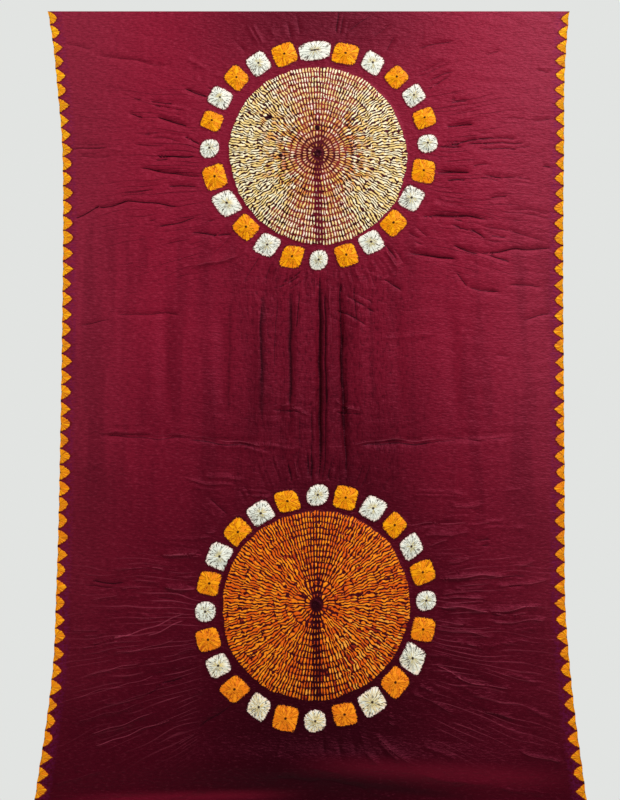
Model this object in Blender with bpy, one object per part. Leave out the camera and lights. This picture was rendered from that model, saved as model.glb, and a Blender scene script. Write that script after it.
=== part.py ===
"""A bandhani cloth: one tall tie-dyed sheet that hangs by its straight top edge.

Lengths are in metres and +Z is up. The origin is the middle of the top edge, and the face of the
cloth looks along -Y. A rise is how far a form stands out of the face; a trough has a rise below 0.
"""

from collections import namedtuple
from math import atan2, ceil, cos, exp, hypot, pi, radians, sin

import bmesh
import bpy
from mathutils import Vector
from mathutils.geometry import delaunay_2d_cdt

# The sheet
LENGTH = 1.400
THICKNESS = 0.002

# The outline: a row for each section, with its distance below the top edge and its two side edges
Section = namedtuple("Section", "drop left right")
OUTLINE = (
    Section(0.000, -0.453, 0.453),
    Section(0.060, -0.442, 0.446),
    Section(0.140, -0.432, 0.439),
    Section(0.240, -0.421, 0.435),
    Section(0.380, -0.414, 0.430),
    Section(0.560, -0.409, 0.425),
    Section(0.780, -0.407, 0.418),
    Section(1.000, -0.406, 0.412),
    Section(1.110, -0.406, 0.416),
    Section(1.220, -0.415, 0.424),
    Section(1.310, -0.427, 0.434),
    Section(LENGTH, -0.439, 0.446),
)

# The two medallions: a stitched disc, taller than wide by 4 `tall`, and a ring of tied squares that
# isn't quite concentric with it. The ring's radius grows by `lobe` on as many sides as `lobes` says,
# the first at `lobe_turn` degrees from the top, and its squares crowd together and apart by `sway`
# degrees, as often, from `sway_turn` on. The top square is `top_stretch` times as wide as it is tall.
Medallion = namedtuple("Medallion", "x z disc_radius tall ring_z ring_radius "
                                    "lobes lobe lobe_turn sway sway_turn top_stretch")
MEDALLIONS = (
    Medallion(0.016, -0.261, 0.157, 0.003, -0.254, 0.185, 3, 0.006, 63, 2.3, 34, 1.6),
    Medallion(0.012, -1.018, 0.154, -0.002, -1.021, 0.177, 2, 0.005, 43, 1.8, 10, 1.0),
)
RING_TURN = -1.1
SQUARES = 24
SQUARE_SIDE = 0.039
ROUND_SQUARE_SIDE = 0.035
ROUND_SQUARE_EVERY = 6
KNOT_RISE = 0.0045
DISC_CROWN = 0.005
DISC_LIFT = 0.0015
DISC_EDGE = 0.010

# The half squares tied along both side edges
SCALLOP_PITCH = 0.0264
SCALLOP_DEPTH = 0.015
SCALLOP_RISE = 0.0015

# Broad swells of the whole sheet, each with its centre, its half sizes and its rise
Swell = namedtuple("Swell", "x z half_x half_z rise")
SWELLS = (
    Swell(-0.270, -0.330, 0.130, 0.220, 0.006),
    Swell(0.290, -0.300, 0.120, 0.200, 0.007),
    Swell(0.020, -0.640, 0.110, 0.170, -0.006),
    Swell(-0.230, -0.800, 0.120, 0.200, 0.005),
    Swell(0.270, -0.760, 0.120, 0.180, 0.006),
    Swell(-0.300, -1.130, 0.110, 0.120, 0.006),
    Swell(0.290, -1.120, 0.110, 0.120, -0.004),
    Swell(0.020, -1.265, 0.300, 0.028, 0.008),
    Swell(0.000, -1.318, 0.350, 0.030, -0.008),
    Swell(-0.020, -1.385, 0.300, 0.040, 0.006),
    Swell(-0.420, -0.260, 0.060, 0.110, -0.004),
    Swell(-0.410, -0.560, 0.060, 0.120, 0.005),
    Swell(-0.400, -0.900, 0.060, 0.130, -0.005),
    Swell(-0.420, -1.240, 0.070, 0.110, 0.007),
    Swell(0.430, -0.200, 0.060, 0.100, 0.004),
    Swell(0.420, -0.520, 0.060, 0.120, -0.005),
    Swell(0.410, -0.880, 0.060, 0.130, 0.005),
    Swell(0.430, -1.250, 0.070, 0.110, 0.006),
)

# The folds: a row for each, with its two ends, its full width and its rise in the middle
Fold = namedtuple("Fold", "x0 z0 x1 z1 width rise")
PLEATS = (
    Fold(0.016, -0.470, 0.018, -0.820, 0.014, -0.006),
    Fold(0.033, -0.480, 0.034, -0.810, 0.016, 0.005),
    Fold(0.053, -0.478, 0.062, -0.817, 0.014, -0.007),
    Fold(0.084, -0.500, 0.090, -0.800, 0.030, 0.003),
    Fold(0.145, -0.500, 0.151, -0.720, 0.030, -0.003),
    Fold(0.235, -0.515, 0.241, -0.735, 0.036, -0.003),
    Fold(-0.014, -0.472, -0.024, -0.800, 0.024, 0.003),
    Fold(-0.045, -0.485, -0.048, -0.780, 0.022, -0.003),
    Fold(-0.078, -0.500, -0.077, -0.730, 0.030, 0.003),
    Fold(-0.145, -0.515, -0.142, -0.720, 0.034, -0.003),
    Fold(-0.240, -0.515, -0.236, -0.720, 0.036, -0.003),
)
STORAGE_CREASE = (
    Fold(-0.375, -0.743, -0.190, -0.746, 0.014, -0.003),
    Fold(-0.200, -0.746, -0.070, -0.760, 0.014, -0.003),
    Fold(0.075, -0.756, 0.205, -0.751, 0.014, -0.003),
    Fold(0.190, -0.751, 0.350, -0.742, 0.014, -0.003),
)
SIDE_CREASES = (
    Fold(-0.369, -0.080, -0.235, -0.102, 0.012, -0.002),
    Fold(-0.262, -0.196, -0.200, -0.212, 0.012, -0.002),
    Fold(-0.290, -0.288, -0.180, -0.300, 0.012, -0.003),
    Fold(-0.361, -0.357, -0.296, -0.345, 0.012, -0.002),
    Fold(-0.205, -0.461, -0.117, -0.441, 0.014, 0.003),
    Fold(-0.330, -0.539, -0.208, -0.541, 0.012, -0.002),
    Fold(0.235, -0.210, 0.290, -0.208, 0.012, -0.002),
    Fold(0.210, -0.292, 0.280, -0.295, 0.012, -0.003),
    Fold(0.190, -0.368, 0.310, -0.375, 0.014, -0.003),
    Fold(0.165, -0.431, 0.252, -0.449, 0.012, -0.003),
    Fold(0.242, -0.424, 0.300, -0.438, 0.012, -0.002),
    Fold(0.290, -0.437, 0.415, -0.423, 0.012, -0.002),
    Fold(0.262, -0.490, 0.325, -0.506, 0.012, -0.002),
    Fold(-0.240, -0.937, -0.175, -0.937, 0.014, 0.003),
    Fold(-0.240, -0.989, -0.178, -0.997, 0.014, 0.003),
    Fold(-0.313, -1.073, -0.190, -1.030, 0.014, -0.003),
    Fold(-0.383, -1.167, -0.185, -1.113, 0.014, -0.003),
    Fold(-0.350, -1.240, -0.205, -1.196, 0.014, -0.003),
    Fold(0.157, -0.891, 0.268, -0.886, 0.012, -0.003),
    Fold(0.205, -0.976, 0.320, -0.971, 0.014, 0.003),
    Fold(0.208, -1.019, 0.290, -1.030, 0.014, 0.003),
    Fold(0.285, -1.030, 0.380, -1.021, 0.014, 0.003),
    Fold(0.200, -1.110, 0.315, -1.155, 0.014, -0.003),
    Fold(0.240, -1.170, 0.380, -1.230, 0.016, -0.003),
)
FOLDS = PLEATS + STORAGE_CREASE + SIDE_CREASES
FADE = 0.25

# How far apart the mesh points of each form lie
END_STEP = 0.028
FOLD_STEP = 0.026
FIELD_STEP = 0.043
DISC_RINGS = 6
DISC_RING_STEP = 0.026
CLEARANCE = 0.0055
FIELD_CLEARANCE = 0.020

# The dyed silk as it looks from afar
MAROON = (0.145, 0.012, 0.030, 1.0)
SILK_ROUGHNESS = 0.45


def slope(index, edge):
    """How fast an edge of the outline runs at one section, from the sections on both sides of it."""
    upper = OUTLINE[max(index - 1, 0)]
    lower = OUTLINE[min(index + 1, len(OUTLINE) - 1)]
    return (getattr(lower, edge) - getattr(upper, edge)) / (lower.drop - upper.drop)


def side_edge(drop, edge):
    """The left or right edge at a distance below the top edge, on a smooth curve through the outline."""
    drop = min(max(drop, 0.0), LENGTH)
    index = max(i for i, section in enumerate(OUTLINE[:-1]) if section.drop <= drop)
    upper, lower = OUTLINE[index], OUTLINE[index + 1]
    gap = lower.drop - upper.drop
    t = (drop - upper.drop) / gap
    start, end = getattr(upper, edge), getattr(lower, edge)
    straight = start + (end - start) * (3 * t ** 2 - 2 * t ** 3)
    leaving = slope(index, edge) * gap * (t ** 3 - 2 * t ** 2 + t)
    arriving = slope(index + 1, edge) * gap * (t ** 3 - t ** 2)
    return straight + leaving + arriving


def side_edges(drop):
    """Both side edges at a distance below the top edge."""
    return side_edge(drop, "left"), side_edge(drop, "right")


def bump(distance, reach):
    """1 at a distance of 0, falling smoothly to 0 at the reach and beyond."""
    if distance >= reach:
        return 0.0
    return 0.5 + 0.5 * cos(pi * distance / reach)


def fold_rise(fold, x, z):
    """How far one fold lifts the face: a round ridge or trough that dies out at both ends."""
    run_x = fold.x1 - fold.x0
    run_z = fold.z1 - fold.z0
    length = hypot(run_x, run_z)
    along = ((x - fold.x0) * run_x + (z - fold.z0) * run_z) / length ** 2
    if not 0.0 < along < 1.0:
        return 0.0
    across = abs((x - fold.x0) * run_z - (z - fold.z0) * run_x) / length
    ends = min(1.0, along / FADE, (1.0 - along) / FADE)
    return fold.rise * ends * bump(across, fold.width / 2)


def swell_rise(swell, x, z):
    """How far one broad swell lifts the face."""
    across = (x - swell.x) / swell.half_x
    up = (z - swell.z) / swell.half_z
    return swell.rise * exp(-across ** 2 - up ** 2)


def disc_radius(medallion, turn):
    """How far a disc reaches at an angle from its top."""
    return medallion.disc_radius + medallion.tall * cos(2 * turn)


def ring_radius(medallion, turn):
    """How far out the middle of a ring of squares lies at an angle from its top, with its lobes."""
    lobe_turn = radians(medallion.lobe_turn)
    return medallion.ring_radius + medallion.lobe * cos(medallion.lobes * (turn - lobe_turn))


def disc_rise(medallion, x, z):
    """The stitched disc: puffed up a little at its rim, and crowned towards its middle."""
    dx = x - medallion.x
    dz = z - medallion.z
    rim = disc_radius(medallion, atan2(dx, dz))
    distance = hypot(dx, dz)
    if distance >= rim:
        return 0.0
    lift = DISC_LIFT * min(1.0, (rim - distance) / DISC_EDGE)
    return lift + DISC_CROWN * (1.0 - (distance / rim) ** 2)


Square = namedtuple("Square", "x z turn half_across half_out")


def tied_squares(medallion):
    """The squares of one ring. Each turns one side to the disc, and the top one is square 0."""
    squares = []
    for index in range(SQUARES):
        even_turn = 2 * pi * index / SQUARES
        sway = medallion.sway * cos(medallion.lobes * (even_turn - radians(medallion.sway_turn)))
        turn = even_turn + radians(RING_TURN + sway)
        radius = ring_radius(medallion, turn)
        side = ROUND_SQUARE_SIDE if index % ROUND_SQUARE_EVERY == 0 else SQUARE_SIDE
        stretch = medallion.top_stretch if index == 0 else 1.0
        x = medallion.x + radius * sin(turn)
        z = medallion.ring_z + radius * cos(turn)
        squares.append(Square(x, z, turn, side * stretch / 2, side / 2))
    return squares


def square_rise(square, x, z):
    """A tied square: a puckered cushion drawn up to a small peak where the thread was tied."""
    dx = x - square.x
    dz = z - square.z
    across = (dx * cos(square.turn) - dz * sin(square.turn)) / square.half_across
    out = (dx * sin(square.turn) + dz * cos(square.turn)) / square.half_out
    share = max(abs(across), abs(out))
    return KNOT_RISE * max(0.0, 1.0 - share)


def scallop_rise(x, z):
    """The half squares on the side edges: each is drawn up where it was tied, at mid-base."""
    left, right = side_edges(-z)
    inwards = min(x - left, right - x)
    along = abs((-z / SCALLOP_PITCH) % 1.0 - 0.5) * SCALLOP_PITCH
    return SCALLOP_RISE * max(0.0, 1.0 - (along + max(inwards, 0.0)) / SCALLOP_DEPTH)


def face_rise(x, z, squares):
    """How far the whole face stands out at x, z. The top edge itself hangs straight."""
    free = min(1.0, -z / SCALLOP_PITCH)
    rise = sum(swell_rise(swell, x, z) for swell in SWELLS)
    rise += sum(fold_rise(fold, x, z) for fold in FOLDS)
    rise += sum(disc_rise(medallion, x, z) for medallion in MEDALLIONS)
    rise += sum(square_rise(square, x, z) for square in squares)
    rise += scallop_rise(x, z)
    return free * rise


def outline_points():
    """The sheet's outline, round from the top left: down the left side, along the hem and back up."""
    half_pitches = round(LENGTH / SCALLOP_PITCH * 2)
    drops = [LENGTH * index / half_pitches for index in range(half_pitches + 1)]
    left_side = [(side_edges(drop)[0], -drop) for drop in drops]
    right_side = [(side_edges(drop)[1], -drop) for drop in reversed(drops)]
    steps = ceil((left_side[0][0] - right_side[-1][0]) / -END_STEP)
    hem = between(left_side[-1], right_side[0], steps)
    top = between(right_side[-1], left_side[0], steps)
    return left_side + hem + right_side + top


def between(start, end, steps):
    """The points that cut the line from start to end into equal steps, without its ends."""
    shares = [index / steps for index in range(1, steps)]
    return [(start[0] + (end[0] - start[0]) * s, start[1] + (end[1] - start[1]) * s) for s in shares]


def square_points(square):
    """The points that shape one tied square: its edge, a smaller square inside it and its peak."""
    across_x, across_z = cos(square.turn), -sin(square.turn)
    out_x, out_z = sin(square.turn), cos(square.turn)
    corners = ((-1, -1), (-1, 1), (1, 1), (1, -1))
    sides = ((-1, 0), (0, 1), (1, 0), (0, -1))
    places = [(0.0, 0.0)]
    places += corners
    places += sides
    places += [(a * 0.5, b * 0.5) for a, b in corners]
    points = []
    for a, b in places:
        across = a * square.half_across
        out = b * square.half_out
        points.append((square.x + across * across_x + out * out_x,
                       square.z + across * across_z + out * out_z))
    return points


def disc_points(medallion):
    """Rings of points in a disc, the last one on its rim."""
    points = [(medallion.x, medallion.z)]
    for ring in range(1, DISC_RINGS + 1):
        share = ring / DISC_RINGS
        count = ceil(2 * pi * medallion.disc_radius * share / DISC_RING_STEP)
        for index in range(count):
            turn = 2 * pi * index / count
            radius = share * disc_radius(medallion, turn)
            points.append((medallion.x + radius * sin(turn), medallion.z + radius * cos(turn)))
    return points


def fold_points(fold):
    """Points along a fold's crest and along both of its feet."""
    run_x = fold.x1 - fold.x0
    run_z = fold.z1 - fold.z0
    length = hypot(run_x, run_z)
    side_x = run_z / length * fold.width / 2
    side_z = -run_x / length * fold.width / 2
    steps = max(3, round(length / FOLD_STEP))
    points = []
    for index in range(steps + 1):
        x = fold.x0 + run_x * index / steps
        z = fold.z0 + run_z * index / steps
        points += [(x, z), (x + side_x, z + side_z), (x - side_x, z - side_z)]
    return points


def scallop_points():
    """The inner tip of each half square on both side edges."""
    points = []
    for index in range(round(LENGTH / SCALLOP_PITCH)):
        drop = (index + 0.5) * SCALLOP_PITCH
        left, right = side_edges(drop)
        points += [(left + SCALLOP_DEPTH, -drop), (right - SCALLOP_DEPTH, -drop)]
    return points


def field_points():
    """Staggered rows of points over the whole sheet."""
    points = []
    rows = round(LENGTH / FIELD_STEP)
    for row in range(1, rows):
        drop = LENGTH * row / rows
        left, right = side_edges(drop)
        columns = round((right - left) / FIELD_STEP)
        shift = 0.5 * (row % 2)
        for column in range(columns):
            points.append((left + (right - left) * (column + shift) / columns, -drop))
    return points


def add_points(points, extra, clearance):
    """Add the extra points that lie inside the sheet and clear of every point there already."""
    for x, z in extra:
        left, right = side_edges(-z)
        inside = left + clearance < x < right - clearance and clearance < -z < LENGTH - clearance
        if inside and all(hypot(x - px, z - pz) >= clearance for px, pz in points):
            points.append((x, z))


def layout(squares):
    """All points of the face, those of the sharpest forms first, and the triangles between them."""
    points = outline_points()
    rim = list(range(len(points)))
    for square in squares:
        add_points(points, square_points(square), CLEARANCE)
    add_points(points, scallop_points(), CLEARANCE)
    for fold in FOLDS:
        add_points(points, fold_points(fold), CLEARANCE)
    for medallion in MEDALLIONS:
        add_points(points, disc_points(medallion), CLEARANCE)
    add_points(points, field_points(), FIELD_CLEARANCE)
    flat = [Vector(point) for point in points]
    inside_outline = 1
    places, _, triangles, *_ = delaunay_2d_cdt(flat, [], [rim], inside_outline, 1e-7)
    return places, triangles


def cloth_mesh():
    """The closed sheet: its face, its back one thickness behind, and the edge that joins them."""
    squares = [square for medallion in MEDALLIONS for square in tied_squares(medallion)]
    places, triangles = layout(squares)
    sheet = bmesh.new()
    face, back = [], []
    for x, z in places:
        y = -face_rise(x, z, squares)
        face.append(sheet.verts.new((x, y - THICKNESS / 2, z)))
        back.append(sheet.verts.new((x, y + THICKNESS / 2, z)))
    for a, b, c in triangles:
        sheet.faces.new((face[a], face[b], face[c]))
        sheet.faces.new((back[a], back[c], back[b]))
    twin = dict(zip(face, back))
    for edge in [edge for edge in sheet.edges if edge.is_boundary and edge.verts[0] in twin]:
        first, second = edge.verts
        sheet.faces.new((first, second, twin[second], twin[first]))
    bmesh.ops.recalc_face_normals(sheet, faces=sheet.faces)
    bmesh.ops.triangulate(sheet, faces=[face for face in sheet.faces if len(face.verts) > 3])
    mesh = bpy.data.meshes.new("cloth")
    sheet.to_mesh(mesh)
    sheet.free()
    mesh.shade_smooth()
    mesh.set_sharp_from_angle(angle=radians(50))
    return mesh


def silk():
    """The cloth's material: maroon dyed silk."""
    material = bpy.data.materials.new("maroon silk")
    material.use_nodes = True
    shader = material.node_tree.nodes["Principled BSDF"]
    shader.inputs["Base Color"].default_value = MAROON
    shader.inputs["Roughness"].default_value = SILK_ROUGHNESS
    shader.inputs["Metallic"].default_value = 0.0
    return material


def main():
    """Clear the scene and hang the cloth in it."""
    for thing in list(bpy.data.objects):
        bpy.data.objects.remove(thing)
    cloth = bpy.data.objects.new("cloth", cloth_mesh())
    cloth.data.materials.append(silk())
    bpy.context.scene.collection.objects.link(cloth)


main()
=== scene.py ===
"""The looks of a hung bandhani cloth: one thin maroon sheet with stitched, tied and dyed patterns.

Lengths are in metres and +Z is up. The origin is the middle of the top edge, and the face of the
cloth looks along -Y. A rise is how far a form stands out of the face; a trough has a rise below 0.
The sheet hangs exactly where its solid does: its outline, swells, pleats and creases are the same.
"""

from collections import namedtuple
from math import cos, hypot, pi, radians, sin

import bpy
import numpy as np
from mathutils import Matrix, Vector
from mathutils.geometry import delaunay_2d_cdt
from mathutils.kdtree import KDTree


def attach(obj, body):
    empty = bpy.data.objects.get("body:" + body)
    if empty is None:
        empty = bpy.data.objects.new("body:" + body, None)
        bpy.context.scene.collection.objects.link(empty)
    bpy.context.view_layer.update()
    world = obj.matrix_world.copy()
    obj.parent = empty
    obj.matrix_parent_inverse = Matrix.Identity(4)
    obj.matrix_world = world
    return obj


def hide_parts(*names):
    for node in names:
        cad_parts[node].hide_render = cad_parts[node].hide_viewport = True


# The sheet, and the flat piece that it was cut as
LENGTH = 1.400


def rows_of(kind, *table):
    """The rows of a table in millimetres, in metres and with their columns named."""
    return tuple(kind(*(value / 1000 for value in row)) for row in table)


# The outline: a row for each section, with its distance below the top edge and its two side edges
Section = namedtuple("Section", "drop left right")
OUTLINE = (
    Section(0.000, -0.453, 0.453),
    Section(0.060, -0.442, 0.446),
    Section(0.140, -0.432, 0.439),
    Section(0.240, -0.421, 0.435),
    Section(0.380, -0.414, 0.430),
    Section(0.560, -0.409, 0.425),
    Section(0.780, -0.407, 0.418),
    Section(1.000, -0.406, 0.412),
    Section(1.110, -0.406, 0.416),
    Section(1.220, -0.415, 0.424),
    Section(1.310, -0.427, 0.434),
    Section(LENGTH, -0.439, 0.446),
)

# The two medallions, a row for each: a stitched disc, taller than wide by 4 `tall`, and a ring of
# tied squares that isn't quite concentric with it. The ring's radius grows by `lobe` on as many sides
# as `lobes` says, the first at `lobe_turn` degrees from the top, and its squares crowd together and
# apart by `sway` degrees, as often, from `sway_turn` on. The top square is `top_stretch` times as wide
# as it is tall. Both rings are turned by RING_TURN degrees, and every sixth square is a smaller,
# rounder one. A dark dot, slit or stripe is a pair: how far out it starts, and how near in it is full.
Medallion = namedtuple("Medallion", "x z disc_radius tall ring_z ring_radius "
                                    "lobes lobe lobe_turn sway sway_turn top_stretch")
UPPER = Medallion(0.016, -0.261, 0.157, 0.003, -0.254, 0.185, 3, 0.006, 63, 2.3, 34, 1.6)
LOWER = Medallion(0.012, -1.018, 0.154, -0.002, -1.021, 0.177, 2, 0.005, 43, 1.8, 10, 1.0)
MEDALLIONS = (UPPER, LOWER)
RING_TURN = -1.1
SQUARES = 24
SQUARE_SIDE = 0.039
ROUND_SQUARE_SIDE = 0.035
ROUND_SQUARE_EVERY = 6
KNOT_RISE = 0.0045
KNOT_CRIMPS = 15
KNOT_CRIMP_RISE = 0.0005
KNOT_DOT = (0.0030, 0.0014)
TOP_SLIT = (0.0090, 0.0050)
TOP_SLIT_HEIGHT = (0.0024, 0.0009)
DISC_CROWN = 0.005
DISC_LIFT = 0.0015
DISC_EDGE = 0.010

# Dark knots in the upper disc, where the dye ran in
Stain = namedtuple("Stain", "x z radius")
UPPER_STAINS = (
    Stain(-0.066, -0.195, 0.0060),
    Stain(-0.047, -0.265, 0.0060),
    Stain(-0.024, -0.266, 0.0040),
    Stain(0.015, -0.215, 0.0055),
    Stain(0.076, -0.200, 0.0040),
)

# The stitching of a disc: rings of running stitches, and the puckers that they leave between them
STITCH_RINGS = 16
RING_RISE = 0.0007
PUCKER_PITCH = 0.0048
ZONE_RINGS = 3
DASH_RISE = 0.0012
CORE_RADIUS = 0.0065
STRIPE_HALF = (0.0088, 0.0050)

# How the stitching of each disc differs: how many of the innermost rings have their own count of
# puckers, how far from upright (as a sine) the rings still show, how far out they show all round,
# how much the side puckers wander and how many of them run together, and how far the dyed edge is
# drawn in at `drawn_turn` degrees from the top, and across from there
Stitching = namedtuple("Stitching", "medallion own_rings upright ringed wander merge "
                                    "drawn_in drawn_turn")
UPPER_STITCHING = Stitching(UPPER, 5, 0.60, 0.40, 1.5, 1.0, 0.0040, 55)
LOWER_STITCHING = Stitching(LOWER, 3, 0.38, 0.10, 1.2, 0.9, 0.0055, 118)

# The half squares tied along both side edges, and the strips of the edge beside them
SCALLOP_PITCH = 0.0264
SCALLOP_DEPTH = 0.015
SCALLOP_RISE = 0.0015
SCALLOP_DOT = (0.0028, 0.0012)
BORDER_WIDTH = 0.026
PLUM_STRIP = (0.028, 0.014)
EDGE_DRAWN_IN = 0.0006

# Broad swells of the whole sheet, each with its centre, its half sizes and its rise, in millimetres
Swell = namedtuple("Swell", "x z half_x half_z rise")
SWELLS = rows_of(
    Swell,
    (-270, -330, 130, 220, 6),
    (290, -300, 120, 200, 7),
    (20, -640, 110, 170, -6),
    (-230, -800, 120, 200, 5),
    (270, -760, 120, 180, 6),
    (-300, -1130, 110, 120, 6),
    (290, -1120, 110, 120, -4),
    (20, -1265, 300, 28, 8),
    (0, -1318, 350, 30, -8),
    (-20, -1385, 300, 40, 6),
    (-420, -260, 60, 110, -4),
    (-410, -560, 60, 120, 5),
    (-400, -900, 60, 130, -5),
    (-420, -1240, 70, 110, 7),
    (430, -200, 60, 100, 4),
    (420, -520, 60, 120, -5),
    (410, -880, 60, 130, 5),
    (430, -1250, 70, 110, 6),
)

# The folds: a row for each, in millimetres, with its two ends, its full width and its rise. The rise
# fades out towards both ends, over the share FADE of a fold's length, or CREASE_FADE of a crease's.
Fold = namedtuple("Fold", "x0 z0 x1 z1 width rise")
PLEATS = rows_of(
    Fold,
    (16, -470, 18, -820, 14, -6),
    (33, -480, 34, -810, 16, 5),
    (53, -478, 62, -817, 14, -7),
    (84, -500, 90, -800, 30, 3),
    (145, -500, 151, -720, 30, -3),
    (235, -515, 241, -735, 36, -3),
    (-14, -472, -24, -800, 24, 3),
    (-45, -485, -48, -780, 22, -3),
    (-78, -500, -77, -730, 30, 3),
    (-145, -515, -142, -720, 34, -3),
    (-240, -515, -236, -720, 36, -3),
)
STORAGE_CREASE = rows_of(
    Fold,
    (-375, -743, -190, -746, 14, -3),
    (-200, -746, -70, -760, 14, -3),
    (75, -756, 205, -751, 14, -3),
    (190, -751, 350, -742, 14, -3),
)
SIDE_CREASES = rows_of(
    Fold,
    (-369, -80, -235, -102, 12, -2),
    (-262, -196, -200, -212, 12, -2),
    (-290, -288, -180, -300, 12, -3),
    (-361, -357, -296, -345, 12, -2),
    (-205, -461, -117, -441, 14, 3),
    (-330, -539, -208, -541, 12, -2),
    (235, -210, 290, -208, 12, -2),
    (210, -292, 280, -295, 12, -3),
    (190, -368, 310, -375, 14, -3),
    (165, -431, 252, -449, 12, -3),
    (242, -424, 300, -438, 12, -2),
    (290, -437, 415, -423, 12, -2),
    (262, -490, 325, -506, 12, -2),
    (-240, -937, -175, -937, 14, 3),
    (-240, -989, -178, -997, 14, 3),
    (-313, -1073, -190, -1030, 14, -3),
    (-383, -1167, -185, -1113, 14, -3),
    (-350, -1240, -205, -1196, 14, -3),
    (157, -891, 268, -886, 12, -3),
    (205, -976, 320, -971, 14, 3),
    (208, -1019, 290, -1030, 14, 3),
    (285, -1030, 380, -1021, 14, 3),
    (200, -1110, 315, -1155, 14, -3),
    (240, -1170, 380, -1230, 16, -3),
)
FOLDS = PLEATS + STORAGE_CREASE + SIDE_CREASES
FADE = 0.25
CREASE_FADE = 0.12

# The sharp creases: the gathers between the medallions, those along the storage
# crease, those at each side and those above the hem. One as deep as DEEP_CREASE looks darkest.
GATHERS = rows_of(
    Fold,
    (19, -473, 18, -640, 4.2, -3.0),
    (18, -600, 19, -822, 4.2, -2.6),
    (28, -488, 29, -700, 4.0, -2.0),
    (31, -660, 26, -805, 3.6, -1.4),
    (53, -478, 55, -655, 4.2, -2.8),
    (55, -635, 62, -815, 4.0, -2.2),
    (36, -480, 38, -600, 3.8, 1.6),
    (-12, -470, -21, -570, 3.8, -1.6),
    (-30, -520, -30, -730, 3.8, -1.2),
    (-52, -500, -58, -640, 3.8, -1.2),
    (-80, -520, -78, -660, 4.0, -1.0),
    (75, -486, 82, -560, 3.8, -1.4),
    (6, -690, 4, -820, 3.8, -1.4),
    (-13, -700, -18, -815, 3.8, -1.2),
    (-47, -693, -19, -692, 4.2, 1.8),
    (-31, -695, 1, -707, 4.2, 1.8),
    (43, -686, 66, -697, 4.2, 2.0),
    (62, -697, 88, -702, 4.2, 1.8),
    (40, -706, 68, -698, 4.0, 1.6),
    (120, -580, 207, -577, 3.8, 1.0),
    (-76, -490, -77, -735, 18.0, -1.2),
    (-30, -490, -30, -700, 13.0, -1.2),
    (56, -560, 57, -740, 13.0, -1.2),
    (21, -480, 21, -800, 15.0, -1.2),
    (-130, -500, -132, -720, 16.0, -0.8),
    (104, -500, 108, -700, 16.0, -0.7),
)
STORAGE_LINES = rows_of(
    Fold,
    (-364, -741, -260, -740, 4.2, 1.4),
    (-270, -740, -140, -750, 4.2, 1.6),
    (-150, -749, -78, -761, 4.2, 2.0),
    (-90, -760, -10, -764, 4.2, 1.4),
    (70, -757, 130, -752, 4.2, 1.8),
    (110, -752, 210, -751, 4.2, 2.0),
    (190, -751, 290, -749, 4.2, 1.6),
    (270, -749, 340, -743, 4.2, 1.2),
    (-340, -746, -190, -750, 4.4, -1.2),
    (-200, -751, -70, -765, 4.4, -1.6),
    (80, -760, 205, -756, 4.4, -1.8),
    (190, -756, 330, -748, 4.4, -1.2),
    (-150, -758, -60, -775, 4.4, 1.2),
    (-60, -700, -10, -703, 4.4, -1.4),
    (40, -704, 90, -708, 4.4, -1.4),
)
LEFT_CREASES = rows_of(
    Fold,
    (-418, -64, -373, -68, 3.6, -1.0),
    (-369, -80, -235, -102, 3.6, -1.0),
    (-214, -144, -173, -157, 3.8, -2.2),
    (-258, -197, -206, -211, 4.0, -2.6),
    (-211, -228, -185, -244, 4.0, -2.6),
    (-256, -269, -193, -263, 4.2, -2.8),
    (-290, -288, -178, -301, 3.8, -2.0),
    (-238, -317, -188, -318, 4.0, -2.2),
    (-400, -380, -352, -352, 3.8, -1.8),
    (-361, -356, -305, -346, 3.8, -2.2),
    (-315, -346, -218, -352, 3.8, -2.2),
    (-255, -390, -190, -376, 3.8, -1.8),
    (-200, -403, -127, -401, 4.0, -2.0),
    (-199, -459, -117, -441, 4.0, 1.8),
    (-326, -539, -208, -541, 3.6, -1.2),
    (-382, -562, -329, -551, 3.6, -1.2),
    (-321, -728, -280, -728, 3.6, 1.0),
    (-375, -801, -336, -790, 3.6, 1.2),
    (-238, -914, -160, -910, 3.8, 1.2),
    (-237, -938, -176, -936, 4.6, 2.2),
    (-233, -989, -178, -997, 4.6, 2.2),
    (-352, -1010, -300, -1002, 3.8, 1.8),
    (-313, -1075, -190, -1030, 4.2, 2.4),
    (-262, -1068, -195, -1043, 4.6, 2.4),
    (-318, -1098, -205, -1072, 3.8, 1.8),
    (-353, -1132, -262, -1106, 3.8, 2.0),
    (-383, -1168, -186, -1113, 3.8, 1.8),
    (-330, -1178, -212, -1142, 3.6, 1.6),
    (-372, -1205, -262, -1170, 3.6, 1.6),
    (-350, -1222, -240, -1186, 3.6, 2.0),
    (-346, -1240, -208, -1196, 3.6, 2.2),
    (-400, -1300, -318, -1272, 3.6, 1.4),
    (-364, -1318, -244, -1309, 3.8, 1.2),
    (-223, -1318, -150, -1306, 3.8, 1.2),
)
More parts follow.
